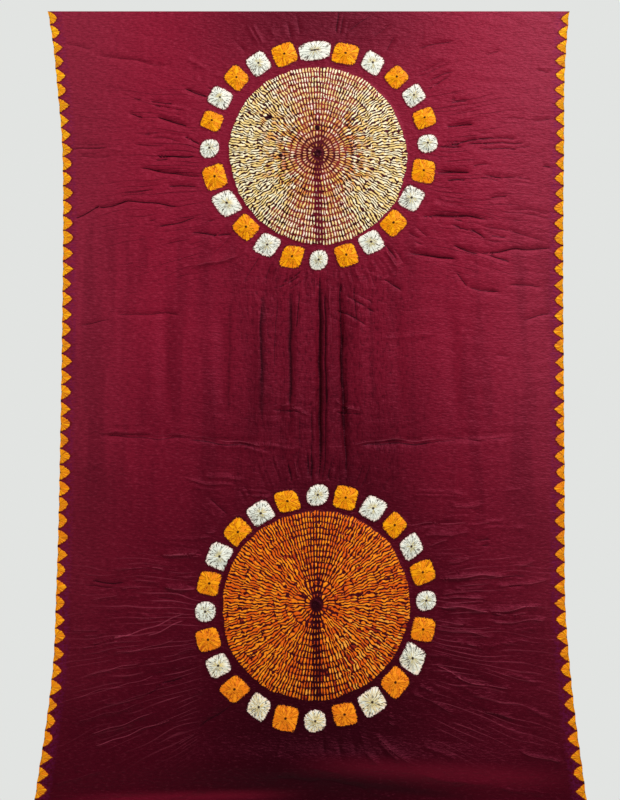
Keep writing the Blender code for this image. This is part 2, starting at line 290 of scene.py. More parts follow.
RIGHT_CREASES = rows_of(
    Fold,
    (189, -66, 252, -57, 3.8, -1.4),
    (307, -80, 331, -75, 3.6, -1.2),
    (391, -106, 415, -113, 3.6, -1.2),
    (235, -210, 282, -208, 4.0, -2.4),
    (224, -249, 256, -247, 4.0, -2.2),
    (217, -292, 275, -295, 4.2, -2.8),
    (278, -286, 306, -281, 3.6, -1.4),
    (234, -308, 267, -310, 4.0, -2.0),
    (306, -340, 338, -333, 3.8, -1.6),
    (396, -286, 416, -286, 3.8, -2.0),
    (190, -368, 303, -375, 4.2, -2.8),
    (273, -394, 299, -410, 3.8, -1.8),
    (129, -422, 149, -446, 3.8, -1.8),
    (169, -433, 248, -448, 4.2, -2.8),
    (242, -424, 285, -436, 4.0, -2.2),
    (285, -436, 415, -424, 3.8, -2.0),
    (302, -438, 338, -452, 3.8, -1.8),
    (247, -469, 267, -493, 3.8, -1.6),
    (267, -493, 320, -505, 3.8, -1.8),
    (334, -490, 393, -490, 3.8, -1.4),
    (358, -548, 411, -536, 3.8, -1.4),
    (311, -611, 334, -609, 3.6, -1.0),
    (315, -839, 350, -834, 3.6, 1.2),
    (157, -891, 265, -886, 4.0, 2.0),
    (195, -927, 228, -911, 3.8, 1.8),
    (335, -955, 366, -949, 3.8, 1.8),
    (208, -977, 320, -971, 4.6, 2.6),
    (300, -987, 390, -982, 3.8, 2.0),
    (208, -1006, 290, -1010, 3.8, 1.8),
    (208, -1019, 290, -1030, 4.4, 2.6),
    (280, -1030, 377, -1020, 4.0, 2.4),
    (292, -1046, 385, -1044, 3.8, 2.0),
    (195, -1056, 300, -1068, 4.0, 1.8),
    (240, -1085, 360, -1076, 3.6, 1.0),
    (203, -1113, 247, -1138, 3.8, 2.0),
    (225, -1133, 325, -1152, 3.8, 2.2),
    (300, -1126, 370, -1142, 3.6, 1.4),
    (160, -1153, 232, -1190, 3.6, 1.6),
    (260, -1178, 325, -1200, 3.6, 1.8),
    (345, -1180, 384, -1196, 3.6, 1.4),
    (330, -1244, 400, -1266, 3.6, 1.8),
    (180, -1240, 232, -1258, 3.6, 1.2),
    (175, -1284, 294, -1301, 3.8, 1.2),
    (294, -1301, 376, -1312, 3.8, 1.2),
)
HEM_CREASES = rows_of(
    Fold,
    (1, -1269, 50, -1280, 3.8, 1.0),
    (-51, -1289, 27, -1290, 4.0, -1.4),
    (20, -1289, 93, -1306, 4.0, -1.4),
    (90, -1305, 137, -1318, 3.8, 1.2),
    (-120, -1345, 60, -1352, 4.2, -1.2),
    (120, -1360, 290, -1352, 4.2, 1.2),
)
CREASES = GATHERS + STORAGE_LINES + LEFT_CREASES + RIGHT_CREASES + HEM_CREASES
DEEP_CREASE = 0.0022

# Finer creases, drawn at random but always the same: how many, and the sizes that they lie between.
# They point at the medallion's middle, but only by the share `aim`, which differs above and below it,
# and none is steeper than it would be at a distance of STEEPEST_FROM. FINE_HEIGHT is the mean and
# the spread of their height above it, and FINE_SPREAD how far out past the ring they start. A fan of
# short puckers goes round each ring too. DRIFT is how far all folds wander, across and up.
CREASE_SEED = 11
FINE_BUNDLES = 30
BUNDLE_GAP = (0.0055, 0.0100)
FINE_LENGTH = (0.022, 0.110)
FINE_WIDTH = (0.0032, 0.0042)
FINE_RISE = 0.0013
FINE_HEIGHT = (-0.020, 0.115)
FINE_SPREAD = 0.17
RING_CLEARANCE = (0.024, 0.032)
AIM_ABOVE = {UPPER: 0.60, LOWER: 0.12}
AIM_BELOW = {UPPER: 0.50, LOWER: 0.75}
STEEPEST_FROM = 0.20
FAN_PUCKERS = 60
FAN_LENGTH = (0.018, 0.052)
DRIFT = (0.0007, 0.0018)

# The thinnest creases, which the material draws beside each medallion, up to `top` above its middle.
# Their lines meet this far behind its middle, above and below it: the further, the nearer to level.
ThinFan = namedtuple("ThinFan", "medallion meet_above meet_below top ridge")
THIN_FANS = (
    ThinFan(UPPER, 0.75, 0.45, 0.09, -1.0),
    ThinFan(LOWER, 3.00, 0.25, 0.05, 1.0),
)
THIN_PITCH = 0.0088
THIN_RISE = 0.0005

# How far apart the mesh points of each form lie, and how near to another one a crease's may lie
DISC_STEP = 0.0019
SQUARE_STEP = 0.0023
BORDER_STEP = 0.0036
FOLD_STEP = 0.0050
FIELD_STEP = 0.0078
END_STEP = 0.0060
CREASE_CLEARANCE = 0.0013

# The camera: it stands a little below the middle of what shows, and looks up
VIEW_CENTRE = (0.0025, 0.0, -0.685)
VIEW_DISTANCE = 2.10
VIEW_PITCH = 9.5
LENS = 57.3
SENSOR = 36.0
FLOOR_DROP = 2.40
FLOOR_SIZE = 12.0

# The light: a soft key from the upper right, a weaker one for the back, and how much of the pale
# world's light fills in
KEY_PLACE = (1.6, -3.2, 2.9)
BACK_PLACE = (-1.6, 3.2, 2.9)
LIGHT_AIM = (0.0, 0.0, -0.6)
KEY_POWER = 235.0
BACK_POWER = 150.0
LIGHT_SIZE = 1.1
FILL = 0.46

# The silk's gloss: satin, with highlights in the colour of its dye
SILK_ROUGHNESS = 0.47
SILK_SHINE = 0.28
SHINE_TINT = (1.0, 0.10, 0.24, 1.0)


def dye(red, green, blue):
    """A colour given as a screen shows it, 0 to 255, as the linear colour that a shader takes."""
    linear = [(value / 255 + 0.055) ** 2.4 / 1.055 ** 2.4 if value > 10 else value / 3295
              for value in (red, green, blue)]
    return (*linear, 1.0)


WINE = dye(143, 25, 49)
# Painted sheen, laid over the upper sides of the cloth
SHEEN_WINE = dye(130, 50, 66)
DEEP_WINE = dye(48, 1, 9)
DEEPEST_WINE = dye(24, 0, 3)
# Painted highlight, laid on crease ridges and crinkle crests
HIGHLIGHT_WINE = dye(196, 84, 108)
PLUM = dye(92, 18, 70)
DRIED_RED = dye(92, 12, 14)
WET_WINE = dye(84, 8, 26)
DRIED_WINE = dye(56, 10, 14)
NEAR_BLACK = dye(18, 3, 5)
CREAM = dye(255, 244, 204)
PINK_WHITE = dye(255, 226, 212)
STRAW = dye(244, 206, 104)
TAN = dye(200, 110, 44)
BRICK = dye(128, 40, 34)
UMBER = dye(36, 10, 10)
ROSE = dye(222, 150, 104)
WHITE = dye(238, 242, 228)
# Painted shade, laid along the wrinkles of the white squares
PUCKER_SHADE_GREY = dye(70, 58, 44)
PUCKER_STRAW = dye(206, 184, 84)
ORANGE = dye(255, 168, 4)
LOW_ORANGE = dye(254, 146, 22)
DEEP_ORANGE = dye(226, 94, 10)
RUST = dye(168, 50, 12)
YELLOW = dye(250, 184, 6)
AMBER = dye(254, 166, 8)
BRONZE = dye(176, 92, 10)
BACKDROP = dye(226, 228, 226)
FLOOR_GREY = dye(214, 214, 210)

# How the soft fold above the hem shines on its crest and darkens in its trough: a row for each band,
# with its two ends, half its height, and the colour laid over the cloth and its share
Band = namedtuple("Band", "x0 z0 x1 z1 half colour share")
HEM_BANDS = (
    Band(-0.060, -1.262, 0.460, -1.294, 0.026, WINE, 0.22),
    Band(-0.420, -1.322, 0.020, -1.312, 0.014, WINE, 0.28),
    Band(-0.120, -1.278, 0.300, -1.322, 0.010, NEAR_BLACK, 0.75),
)


def put(name, data):
    """A new thing in the scene, made of a mesh, a light or a camera."""
    thing = bpy.data.objects.new(name, data)
    bpy.context.scene.collection.objects.link(thing)
    return thing


# The shape of the sheet


def side_edges(drop):
    """Both side edges at distances below the top edge, on smooth curves through the outline."""
    drops = np.array([section.drop for section in OUTLINE])
    drop = np.clip(drop, 0.0, LENGTH)
    index = np.clip(np.searchsorted(drops, drop, side="right") - 1, 0, len(drops) - 2)
    gap = drops[index + 1] - drops[index]
    t = (drop - drops[index]) / gap
    edges = []
    for name in ("left", "right"):
        places = np.array([getattr(section, name) for section in OUTLINE])
        slopes = np.empty_like(places)
        slopes[1:-1] = (places[2:] - places[:-2]) / (drops[2:] - drops[:-2])
        slopes[0] = (places[1] - places[0]) / (drops[1] - drops[0])
        slopes[-1] = (places[-1] - places[-2]) / (drops[-1] - drops[-2])
        straight = places[index] + (places[index + 1] - places[index]) * (3 * t ** 2 - 2 * t ** 3)
        leaving = slopes[index] * gap * (t ** 3 - 2 * t ** 2 + t)
        arriving = slopes[index + 1] * gap * (t ** 3 - t ** 2)
        edges.append(straight + leaving + arriving)
    return edges


def drift(x, z):
    """A slow sideways wander, the same everywhere, that keeps folds from running dead straight."""
    wander_x = np.sin(61 * z + 23 * x + 0.7) + 0.6 * np.sin(131 * z - 47 * x + 2.1)
    wander_z = np.sin(57 * x - 19 * z + 1.9) + 0.6 * np.sin(121 * x + 43 * z + 0.4)
    return DRIFT[0] * wander_x, DRIFT[1] * wander_z


def bump(distance, reach):
    """1 at a distance of 0, falling smoothly to 0 at the reach and beyond."""
    return 0.5 + 0.5 * np.cos(pi * np.clip(distance / reach, 0.0, 1.0))


def fold_share(fold, x, z, fade):
    """How much of one fold's rise each place has: 1 on its crest, falling to 0 at its feet and ends."""
    run_x = fold.x1 - fold.x0
    run_z = fold.z1 - fold.z0
    length = hypot(run_x, run_z)
    along = ((x - fold.x0) * run_x + (z - fold.z0) * run_z) / length ** 2
    across = np.abs((x - fold.x0) * run_z - (z - fold.z0) * run_x) / length
    ends = np.clip(np.minimum(along, 1.0 - along) / fade, 0.0, 1.0)
    return ends * bump(across, fold.width / 2)


def swell_rise(swell, x, z):
    """How far one broad swell lifts the face."""
    across = (x - swell.x) / swell.half_x
    up = (z - swell.z) / swell.half_z
    return swell.rise * np.exp(-across ** 2 - up ** 2)


def disc_radius(medallion, turn):
    """How far a disc reaches at an angle from its top."""
    return medallion.disc_radius + medallion.tall * np.cos(2 * turn)


def ring_radius(medallion, turn):
    """How far out the middle of a ring of squares lies at an angle from its top, with its lobes."""
    lobe_turn = radians(medallion.lobe_turn)
    return medallion.ring_radius + medallion.lobe * np.cos(medallion.lobes * (turn - lobe_turn))


def disc_share(medallion, x, z):
    """How far out from a disc's middle each place lies: 0 in the middle and 1 on the rim."""
    dx = x - medallion.x
    dz = z - medallion.z
    return np.hypot(dx, dz) / disc_radius(medallion, np.arctan2(dx, dz))


def disc_rise(medallion, x, z):
    """The stitched disc: crowned, puffed up at its rim, and ribbed between its rings of stitches."""
    share = disc_share(medallion, x, z)
    inside = np.clip((1.0 - share) * medallion.disc_radius / DISC_EDGE, 0.0, 1.0)
    ribs = RING_RISE * (0.5 - 0.5 * np.cos(2 * pi * share * STITCH_RINGS))
    puckers = 0.4 * RING_RISE * np.sin(410 * x + 90 * z) * np.sin(370 * z - 70 * x)
    crown = DISC_CROWN * np.clip(1.0 - share ** 2, 0.0, 1.0)
    return inside * (DISC_LIFT + ribs + puckers) + crown


Square = namedtuple("Square", "x z turn half_across half_out")


def tied_squares(medallion):
    """The squares of one ring. Each turns one side to the disc, and the top one is square 0."""
    squares = []
    for index in range(SQUARES):
        even_turn = 2 * pi * index / SQUARES
        sway = medallion.sway * cos(medallion.lobes * (even_turn - radians(medallion.sway_turn)))
        turn = even_turn + radians(RING_TURN + sway)
        radius = float(ring_radius(medallion, turn))
        side = ROUND_SQUARE_SIDE if index % ROUND_SQUARE_EVERY == 0 else SQUARE_SIDE
        stretch = medallion.top_stretch if index == 0 else 1.0
        x = medallion.x + radius * sin(turn)
        z = medallion.ring_z + radius * cos(turn)
        squares.append(Square(x, z, turn, side * stretch / 2, side / 2))
    return squares


def square_rise(square, x, z):
    """A tied square: a puckered cushion drawn up to a small peak where the thread was tied."""
    dx = x - square.x
    dz = z - square.z
    across = (dx * cos(square.turn) - dz * sin(square.turn)) / square.half_across
    out = (dx * sin(square.turn) + dz * cos(square.turn)) / square.half_out
    share = np.clip((np.abs(across) ** 4 + np.abs(out) ** 4) ** 0.25, 0.0, 1.2)
    cushion = KNOT_RISE * np.clip(1.0 - share, 0.0, 1.0)
    crimp = np.cos(KNOT_CRIMPS * np.arctan2(across, out) + 9 * square.x + 5 * share)
    return cushion + KNOT_CRIMP_RISE * crimp * np.sin(pi * np.clip(share / 1.2, 0.0, 1.0))


def scallop_rise(x, z, inward):
    """The half squares on the side edges: each is drawn up where it was tied, at mid-base."""
    along = np.abs((-z / SCALLOP_PITCH) % 1.0 - 0.5) * SCALLOP_PITCH
    return SCALLOP_RISE * np.clip(1.0 - (along + np.maximum(inward, 0.0)) / SCALLOP_DEPTH, 0.0, 1.0)


def side_creases(draw, medallion, side):
    """A bundle of fine creases at one side of a medallion, running out from it."""
    length = draw.uniform(*FINE_LENGTH) * draw.uniform(0.4, 1.0)
    dz = draw.normal(*FINE_HEIGHT)
    ring = max(0.0, medallion.ring_radius ** 2 - dz ** 2) ** 0.5
    dx = ring + RING_CLEARANCE[0] + draw.uniform() ** 1.5 * FINE_SPREAD
    aim = AIM_ABOVE[medallion] if dz > 0 else AIM_BELOW[medallion]
    tilt = aim * dz / max(dx, STEEPEST_FROM) + draw.normal(0.0, 0.05)
    x = medallion.x + side * dx
    z = medallion.z + dz
    low_down = 0.5 + 0.5 * np.tanh((-z - 0.72) / 0.1)
    sign = 1 if draw.uniform() < 0.2 + 0.65 * low_down else -1
    bundle = []
    for _ in range(draw.integers(1, 4)):
        rise = FINE_RISE * draw.uniform(0.4, 1.4) * sign
        width = draw.uniform(*FINE_WIDTH)
        bundle.append(Fold(x, z, x + side * length, z + tilt * length, width, rise))
        x += side * draw.uniform(-0.3, 0.5) * length
        z -= draw.uniform(*BUNDLE_GAP)
        length *= draw.uniform(0.6, 1.2)
    return bundle


def fan_pucker(draw, medallion):
    """One short pucker that fans out from the squares, mostly on the side between the medallions."""
    between = medallion is UPPER
    turn = draw.normal(pi if draw.uniform() < (0.72 if between else 0.12) else 0.0, 0.42)
    start = medallion.ring_radius + draw.uniform(*RING_CLEARANCE)
    end = start + draw.uniform(*FAN_LENGTH)
    rise = FINE_RISE * draw.uniform(0.3, 1.0) * draw.choice((-1, -1, 1))
    return Fold(medallion.x + start * sin(turn), medallion.ring_z + start * cos(turn),
                medallion.x + end * sin(turn), medallion.ring_z + end * cos(turn),
                draw.uniform(*FINE_WIDTH), rise)


def fine_creases():
    """Seeded fine creases: those beside the medallions, and fans of short puckers."""
    draw = np.random.default_rng(CREASE_SEED)
    folds = []
    for medallion in MEDALLIONS:
        for side in (-1, 1) * FINE_BUNDLES:
            folds += side_creases(draw, medallion, side)
        folds += [fan_pucker(draw, medallion) for _ in range(FAN_PUCKERS)]
    return folds


def crease_line(creases, x, z):
    """How sharp a line each place lies on: up to 1 on a ridge, and down to -1 in a tuck."""
    line = np.zeros_like(x)
    for crease in creases:
        line += fold_share(crease, x, z, CREASE_FADE) * crease.rise / DEEP_CREASE
    return np.clip(line, -1.0, 1.0)


def face_rise(x, z, squares, inward, line):
    """How far the whole face stands out at x, z. The top edge itself hangs straight."""
    free = np.clip(-z / SCALLOP_PITCH, 0.0, 1.0)
    rise = sum(swell_rise(swell, x, z) for swell in SWELLS)
    rise += sum(fold.rise * fold_share(fold, x, z, FADE) for fold in FOLDS)
    rise += sum(disc_rise(medallion, x, z) for medallion in MEDALLIONS)
    rise += sum(square_rise(square, x, z) for square in squares)
    rise += scallop_rise(x, z, inward)
    return free * (rise + line * DEEP_CREASE)


# The places of the mesh points


def outline_points():
    """The sheet's outline, round from the top left: down the left side, along the hem and back up."""
    steps = round(LENGTH / BORDER_STEP)
    drops = np.linspace(0.0, LENGTH, steps + 1)
    left, right = side_edges(drops)
    drawn_in = EDGE_DRAWN_IN * np.cos(2 * pi * drops / SCALLOP_PITCH)
    left_side = np.column_stack([left - drawn_in, -drops])
    right_side = np.column_stack([right + drawn_in, -drops])[::-1]
    across = np.linspace(0.0, 1.0, round((right[-1] - left[-1]) / END_STEP) + 1)[1:-1, None]
    hem = left_side[-1] + (right_side[0] - left_side[-1]) * across
    top = right_side[-1] + (left_side[0] - right_side[-1]) * across
    return np.concatenate([left_side, hem, right_side, top])


def disc_points(medallion):
    """Close rings of points over a disc and a little past its rim."""
    places = [(medallion.x, medallion.z)]
    rings = round(medallion.disc_radius / DISC_STEP) + 1
    for ring in range(1, rings + 1):
        radius = ring * DISC_STEP
        turns = 2 * pi * (np.arange(round(2 * pi * ring)) + 0.5 * (ring % 2)) / round(2 * pi * ring)
        reach = radius * disc_radius(medallion, turns) / medallion.disc_radius
        places += zip(medallion.x + reach * np.sin(turns), medallion.z + reach * np.cos(turns))
    return np.array(places)


def staggered_grid(half_x, half_z, step):
    """Staggered rows of points, an even step apart, over a rectangle round 0, 0."""
    rows = np.arange(-half_z, half_z + step, step * 0.87)
    places = []
    for index, z in enumerate(rows):
        across = np.arange(-half_x + step / 2 * (index % 2), half_x + step / 2, step)
        places.append(np.column_stack([across, np.full(len(across), z)]))
    return np.concatenate(places)


def square_points(square):
    """A close grid of points over one tied square, turned as it is."""
    grid = staggered_grid(square.half_across * 1.15, square.half_out * 1.15, SQUARE_STEP)
    across = np.array((cos(square.turn), -sin(square.turn)))
    out = np.array((sin(square.turn), cos(square.turn)))
    return np.array((square.x, square.z)) + grid[:, :1] * across + grid[:, 1:] * out


def fold_points(fold):
    """Points along a fold's crest and on both of its sides, moved as the drift moves the fold."""
    run = np.array((fold.x1 - fold.x0, fold.z1 - fold.z0))
    length = np.hypot(*run)
    side = np.array((run[1], -run[0])) / length * fold.width / 2
    shares = np.linspace(0.0, 1.0, max(4, round(length / FOLD_STEP) + 1))[:, None]
    crest = np.array((fold.x0, fold.z0)) + shares * run
    places = np.concatenate([crest + offset * side for offset in (0, 1, -1)])
    drift_x, drift_z = drift(places[:, 0], places[:, 1])
    return places - np.column_stack([drift_x, drift_z])


def border_points():
    """Rows of points along both side edges, as wide as the scallops are."""
    drops = np.arange(BORDER_STEP / 2, LENGTH, BORDER_STEP)
    left, right = side_edges(drops)
    places = []
    for row in range(1, round(BORDER_WIDTH / BORDER_STEP)):
        places.append(np.column_stack([left + row * BORDER_STEP, -drops]))
        places.append(np.column_stack([right - row * BORDER_STEP, -drops]))
    return np.concatenate(places)


def field_points():
    """Staggered points over the whole sheet."""
    widest = max(section.right for section in OUTLINE)
    return staggered_grid(widest, LENGTH / 2, FIELD_STEP) + np.array((0.0, -LENGTH / 2))


def inside(places, margins):
    """Which places lie inside the sheet by more than a margin."""
    left, right = side_edges(-places[:, 1])
    within = (places[:, 0] > left + margins) & (places[:, 0] < right - margins)
    return within & (places[:, 1] < -margins) & (places[:, 1] > margins - LENGTH)


def clear_ones(places, clearances):
    """Which places to keep: all that no earlier kept one comes closer to than their clearance."""
    tree = KDTree(len(places))
    for index, (x, z) in enumerate(places):
        tree.insert((x, z, 0.0), index)
    tree.balance()
    keep = np.ones(len(places), dtype=bool)
    widest = max(clearances)
    for index, (x, z) in enumerate(places):
        if keep[index]:
            for _, other, distance in tree.find_range((x, z, 0.0), widest):
                if other > index and distance < clearances[other]:
                    keep[other] = False
    return keep


def layout(creases, squares):
    """All points of the face, those of the sharpest forms first, and the triangles between them."""
    rim = outline_points()
    groups = [(border_points(), BORDER_STEP * 0.6)]
    groups += [(disc_points(medallion), DISC_STEP * 0.6) for medallion in MEDALLIONS]
    groups += [(square_points(square), SQUARE_STEP * 0.7) for square in squares]
    groups += [(fold_points(fold), CREASE_CLEARANCE) for fold in creases]
    groups += [(fold_points(fold), CREASE_CLEARANCE * 1.6) for fold in FOLDS]
    groups += [(field_points(), FIELD_STEP * 0.5)]
    places = np.concatenate([places for places, _ in groups])
    clearances = np.concatenate([np.full(len(places), clearance) for places, clearance in groups])
    within = inside(places, clearances)
    places = np.concatenate([rim, places[within]])
    clearances = np.concatenate([np.zeros(len(rim)), clearances[within]])
    places = places[clear_ones(places, clearances)]
    edge = list(range(len(rim)))
    inside_outline = 1
    flat = [Vector(place) for place in places]
    places, _, triangles, *_ = delaunay_2d_cdt(flat, [], [edge], inside_outline, 1e-7)
    return np.array([tuple(place) for place in places]), np.array(triangles)


# The materials' regions, and how far past a ring's middle and a disc's rim theirs reach
REGIONS = ("field", "border", "upper_disc", "upper_squares", "lower_disc", "lower_squares")
RING_MARGIN = 0.034
DISC_MARGIN = 1.02
MAP_MARGIN = 0.002


def region_of(x, z, inward):
    """Which material each place takes, as its number in REGIONS."""
    region = np.where(inward < BORDER_WIDTH, REGIONS.index("border"), REGIONS.index("field"))
    for medallion, name in zip(MEDALLIONS, ("upper", "lower")):
        reach = np.hypot(x - medallion.x, z - medallion.ring_z)
        region[reach < medallion.ring_radius + RING_MARGIN] = REGIONS.index(name + "_squares")
        region[disc_share(medallion, x, z) < DISC_MARGIN] = REGIONS.index(name + "_disc")
    return region


def cloth_sheet(materials):
    """The one sheet: its mesh, the distance of each point from its side edge, and its materials."""
    squares = [square for medallion in MEDALLIONS for square in tied_squares(medallion)]
    creases = list(CREASES) + fine_creases()
    places, triangles = layout(creases, squares)
    x, z = places[:, 0], places[:, 1]
    left, right = side_edges(-z)
    inward = np.minimum(x - left, right - x)
    drift_x, drift_z = drift(x, z)
    line = crease_line(creases, x + drift_x, z + drift_z)
    y = -face_rise(x, z, squares, inward, line)
    mesh = bpy.data.meshes.new("cloth_sheet")
    mesh.from_pydata(np.column_stack([x, y, z]).tolist(), [], triangles.tolist())
    mesh.attributes.new("inward", "FLOAT", "POINT").data.foreach_set("value", inward)
    mesh.attributes.new("line", "FLOAT", "POINT").data.foreach_set("value", line)
    for material in materials:
        mesh.materials.append(material)
    middles = places[triangles].mean(axis=1)
    regions = region_of(middles[:, 0], middles[:, 1], inward[triangles].mean(axis=1))
    mesh.polygons.foreach_set("material_index", regions)
    mesh.shade_smooth()
    flat_map(mesh, x, z)
    return put("cloth_sheet", mesh)


def flat_map(mesh, x, z):
    """A flat map of the whole sheet, as wide and as tall as the map allows."""
    across = (x - x.min()) / (x.max() - x.min())
    up = (z - z.min()) / (z.max() - z.min())
    corners = np.empty(len(mesh.loops), dtype=np.int32)
    mesh.loops.foreach_get("vertex_index", corners)
    layer = mesh.uv_layers.new(name="OFBake")
    places = MAP_MARGIN + (1 - 2 * MAP_MARGIN) * np.column_stack([across, up])[corners]
    layer.data.foreach_set("uv", places.astype(np.float32).ravel())


# Formulas in materials


class Number:
    """A number that a material works out at each point, so that patterns read as plain formulas."""

    def __init__(self, tree, socket):
        self.tree = tree
        self.socket = socket

    def math(self, operation, *others):
        """The outcome of one math step with this number first."""
        node = self.tree.nodes.new("ShaderNodeMath")
        node.operation = operation
        for socket, value in zip(node.inputs, (self, *others)):
            feed(self.tree, socket, value)
        return Number(self.tree, node.outputs[0])

    def __add__(self, other):
        return self.math("ADD", other)

    def __sub__(self, other):
        return self.math("SUBTRACT", other)

    def __rsub__(self, other):
        return self.math("MULTIPLY", -1.0).math("ADD", other)

    def __mul__(self, other):
        return self.math("MULTIPLY", other)

    def __truediv__(self, other):
        return self.math("DIVIDE", other)

    def __rtruediv__(self, other):
        return self.math("POWER", -1.0) * other

    def __pow__(self, other):
        return self.math("POWER", other)

    def __abs__(self):
        return self.math("ABSOLUTE")

    __radd__ = __add__
    __rmul__ = __mul__


def feed(tree, socket, value):
    """Give a socket a number, a colour, or what another node works out."""
    if isinstance(value, Number):
        tree.links.new(value.socket, socket)
    elif isinstance(value, bpy.types.NodeSocket):
        tree.links.new(value, socket)
    else:
        socket.default_value = value


def step(value, low, high):
    """0 at low, 1 at high and smooth between; low may be the larger of the two."""
    if low > high:
        return 1.0 - step(value, high, low)
    node = value.tree.nodes.new("ShaderNodeMapRange")
    node.interpolation_type = "SMOOTHSTEP"
    feed(value.tree, node.inputs["Value"], value)
    node.inputs["From Min"].default_value = low
    node.inputs["From Max"].default_value = high
    return Number(value.tree, node.outputs["Result"])


def vector(tree, *parts):
    """Two or three numbers as one vector."""
    node = tree.nodes.new("ShaderNodeCombineXYZ")
    for socket, part in zip(node.inputs, parts):
        feed(tree, socket, part)
    return node.outputs[0]


def noise(tree, parts, scale, detail=1.0, roughness=0.5):
    """A soft random number from 0 to 1, about 1 / scale metres from lump to lump."""
    node = tree.nodes.new("ShaderNodeTexNoise")
    node.noise_dimensions = "3D" if len(parts) == 3 else "2D"
    feed(tree, node.inputs["Vector"], vector(tree, *parts))
    node.inputs["Scale"].default_value = scale
    node.inputs["Detail"].default_value = detail
    node.inputs["Roughness"].default_value = roughness
    return Number(tree, node.outputs["Fac"])


def chance(tree, first, second):
    """An even random number from 0 to 1 that is the same wherever both numbers are the same."""
    node = tree.nodes.new("ShaderNodeTexWhiteNoise")
    node.noise_dimensions = "2D"
    feed(tree, node.inputs["Vector"], vector(tree, first, second))
    return Number(tree, node.outputs["Value"])


def blend(tree, first, second, share):
    """The first colour where the share is 0 and the second where it is 1."""
    node = tree.nodes.new("ShaderNodeMix")
    node.data_type = "RGBA"
    node.clamp_factor = True
    feed(tree, node.inputs["Factor"], share)
    feed(tree, node.inputs["A"], first)
    feed(tree, node.inputs["B"], second)
    return node.outputs["Result"]


def layers(tree, colour, *over):
    """A colour with others laid over it in turn, each a pair of a colour and its share."""
    for other, share in over:
        colour = blend(tree, colour, other, share)
    return colour


def mesh_value(tree, name):
    """A number that the mesh carries at each of its points."""
    node = tree.nodes.new("ShaderNodeAttribute")
    node.attribute_name = name
    return Number(tree, node.outputs["Fac"])


def silk(name, paint):
    """A material of dyed silk: paint gives its colour and its relief in metres at each point."""
    material = bpy.data.materials.new(name)
    material.use_nodes = True
    tree = material.node_tree
    shader = tree.nodes["Principled BSDF"]
    place = tree.nodes.new("ShaderNodeTexCoord").outputs["Object"]
    parts = tree.nodes.new("ShaderNodeSeparateXYZ")
    tree.links.new(place, parts.inputs[0])
    x = Number(tree, parts.outputs["X"])
    z = Number(tree, parts.outputs["Z"])
    colour, relief = paint(tree, x, z)
    tree.links.new(colour, shader.inputs["Base Color"])
    bumps = tree.nodes.new("ShaderNodeBump")
    bumps.inputs["Distance"].default_value = 1.0
    bumps.inputs["Strength"].default_value = 1.0
    feed(tree, bumps.inputs["Height"], relief)
    tree.links.new(bumps.outputs["Normal"], shader.inputs["Normal"])
    shader.inputs["Roughness"].default_value = SILK_ROUGHNESS
    shader.inputs["Specular IOR Level"].default_value = SILK_SHINE
    shader.inputs["Specular Tint"].default_value = SHINE_TINT
    return material


# The dyed patterns, with painted highlights and shade


def thin_creases(tree, x, z):
    """The thinnest creases beside the medallions, above 0 on a ridge and below 0 in a tuck, for their
    relief and for a painted highlight on a ridge and painted shade in a tuck.
    """
    total = 0.0
    for fan in THIN_FANS:
        along = abs(x - fan.medallion.x)
        up = z - fan.medallion.z
        meet = step(up, -0.02, 0.02) * (fan.meet_above - fan.meet_below) + fan.meet_below
        level = up * (meet + 0.30) / (along + meet)
        side = x.math("SIGN")
        wander = noise(tree, (along * 0.4, level, side), 20.0, 1.0) * 4.0
        row = level / THIN_PITCH + wander
        own = noise(tree, (along, row.math("FLOOR") * 0.71, side), 11.0, 1.0)
        lines = step(abs(row.math("FRACT") - 0.5), 0.13, 0.03) * step(own, 0.44, 0.60)
        beside = step(along, 0.17, 0.22) * step(up, fan.top + 0.06, fan.top) * step(up, -0.28, -0.14)
        beside = beside * (step(along, 0.40, 0.20) * 0.70 + 0.30)
        total += lines * beside * fan.ridge
    return total


def hem_band(band, x, z):
    """How much of a band each place has: 1 along its middle, fading over its half width and its ends."""
    along = (x - band.x0) / (band.x1 - band.x0)
    middle = along * (band.z1 - band.z0) + band.z0
    return step(abs(z - middle), band.half, 0.0) * step(abs(along - 0.5), 0.5, 0.15)


